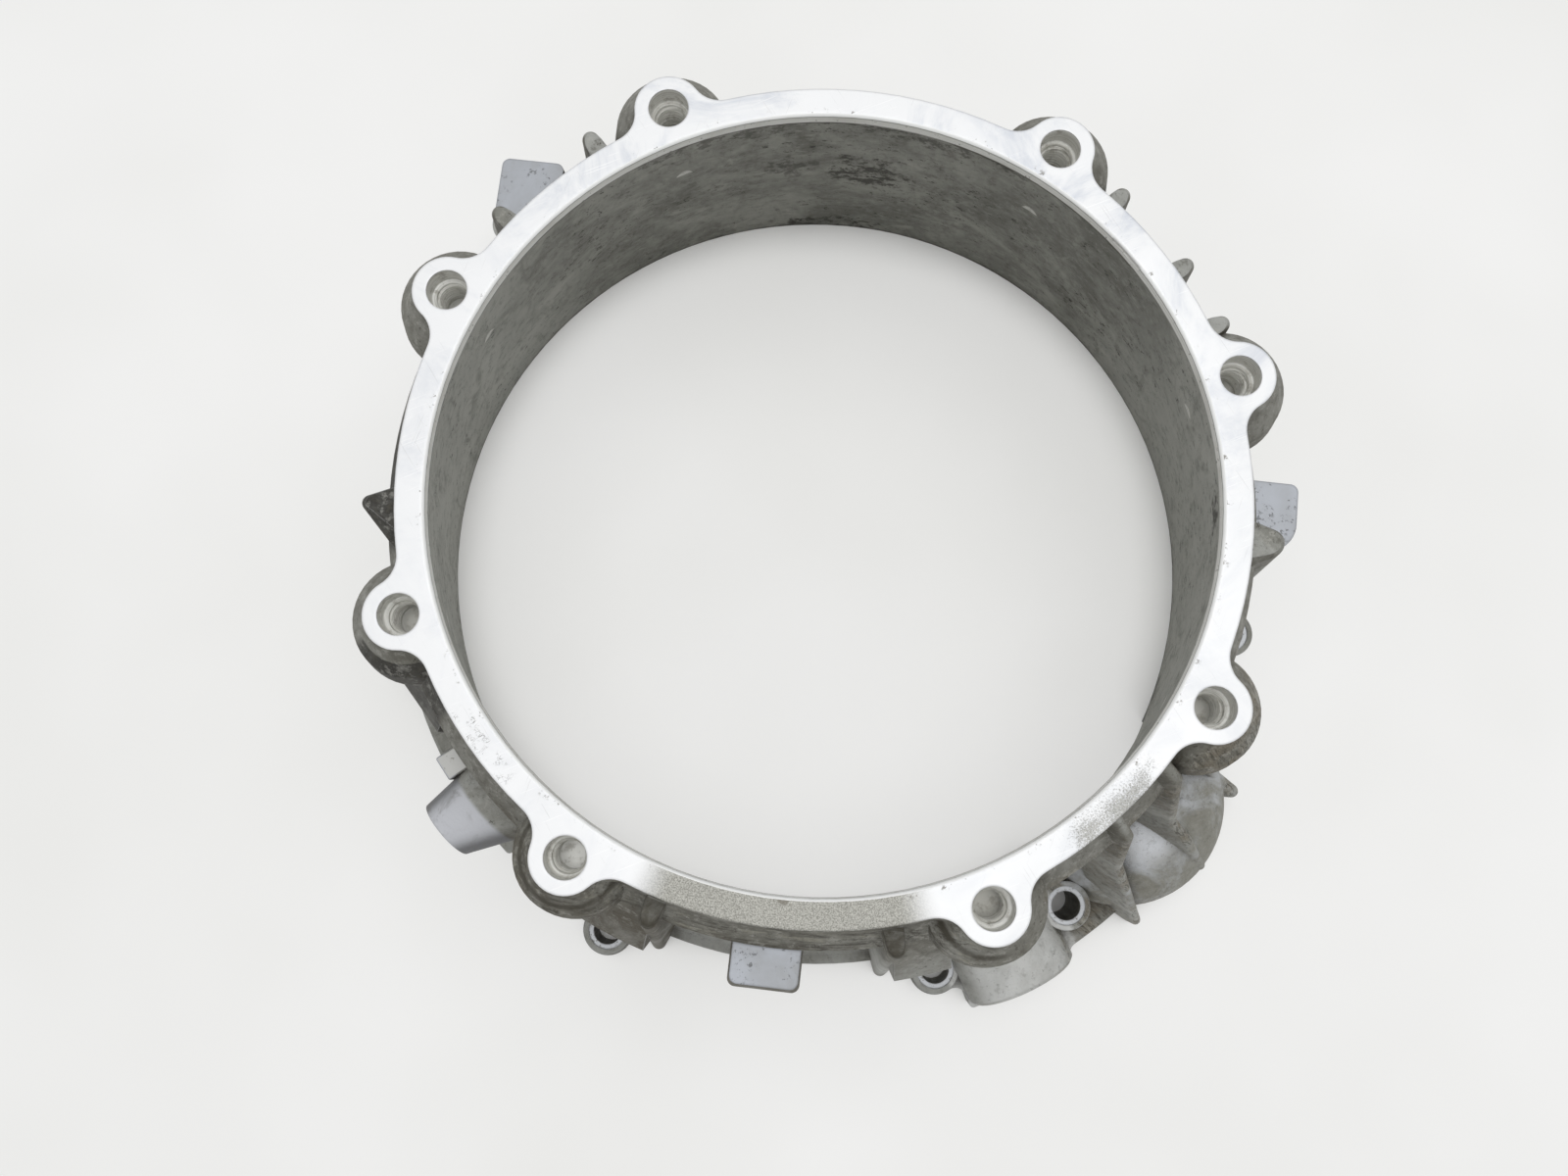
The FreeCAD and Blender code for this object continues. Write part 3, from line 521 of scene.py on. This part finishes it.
def floor():
    corners = [(-TABLE, -TABLE), (TABLE, -TABLE), (TABLE, TABLE), (-TABLE, TABLE)]
    mesh = bpy.data.meshes.new("table")
    mesh.from_pydata([(x, y, -TABLE_GAP) for x, y in corners], [], [(0, 1, 2, 3)])
    mesh.materials.append(table_top())
    made = bpy.data.objects.new("table", mesh)
    bpy.context.scene.collection.objects.link(made)


def lamp(name, place, size, watts):
    data = bpy.data.lights.new(name, "AREA")
    data.shape = "DISK"
    data.size = size
    data.energy = watts
    made = bpy.data.objects.new(name, data)
    made.location = place
    made.rotation_euler = (Vector((0, 0, 0.1)) - Vector(place)).to_track_quat("-Z", "Y").to_euler()
    bpy.context.scene.collection.objects.link(made)


def light():
    world = bpy.data.worlds.new("studio")
    bpy.context.scene.world = world
    world.use_nodes = True
    world.node_tree.nodes.clear()
    n = Nodes(world.node_tree)
    path = n.add("ShaderNodeLightPath").outputs
    mirrored = n.math("MAXIMUM", path["Is Glossy Ray"], path["Is Transmission Ray"])
    strength = n.blend(n.math("MAXIMUM", path["Is Camera Ray"], mirrored), 0.44, 1.0)
    back = n.add("ShaderNodeBackground", {"Color": (1.0, 1.0, 1.0, 1.0), "Strength": strength})
    n.add("ShaderNodeOutputWorld", {"Surface": back.outputs[0]})
    lamp("overhead", (0.08, 0.2, 1.7), 1.5, 13.5)


def camera():
    data = bpy.data.cameras.new("camera")
    data.lens = 27.0
    data.sensor_width = 36.0
    data.clip_start = 0.02
    made = bpy.data.objects.new("camera", data)
    turn = Matrix.Rotation(math.radians(9.06), 4, "Z")
    tilt = Matrix.Rotation(math.radians(8.15), 4, "X")
    roll = Matrix.Rotation(math.radians(-2.52), 4, "Z")
    made.matrix_world = Matrix.Translation((-0.0005, -0.0932, 0.5594)) @ turn @ tilt @ roll
    bpy.context.scene.collection.objects.link(made)
    bpy.context.scene.camera = made


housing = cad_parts["bell_housing"]
housing.data.materials.clear()
housing.data.materials.append(cast_aluminium())
threads()
floor()
light()
camera()
bpy.context.scene.view_settings.view_transform = "Standard"
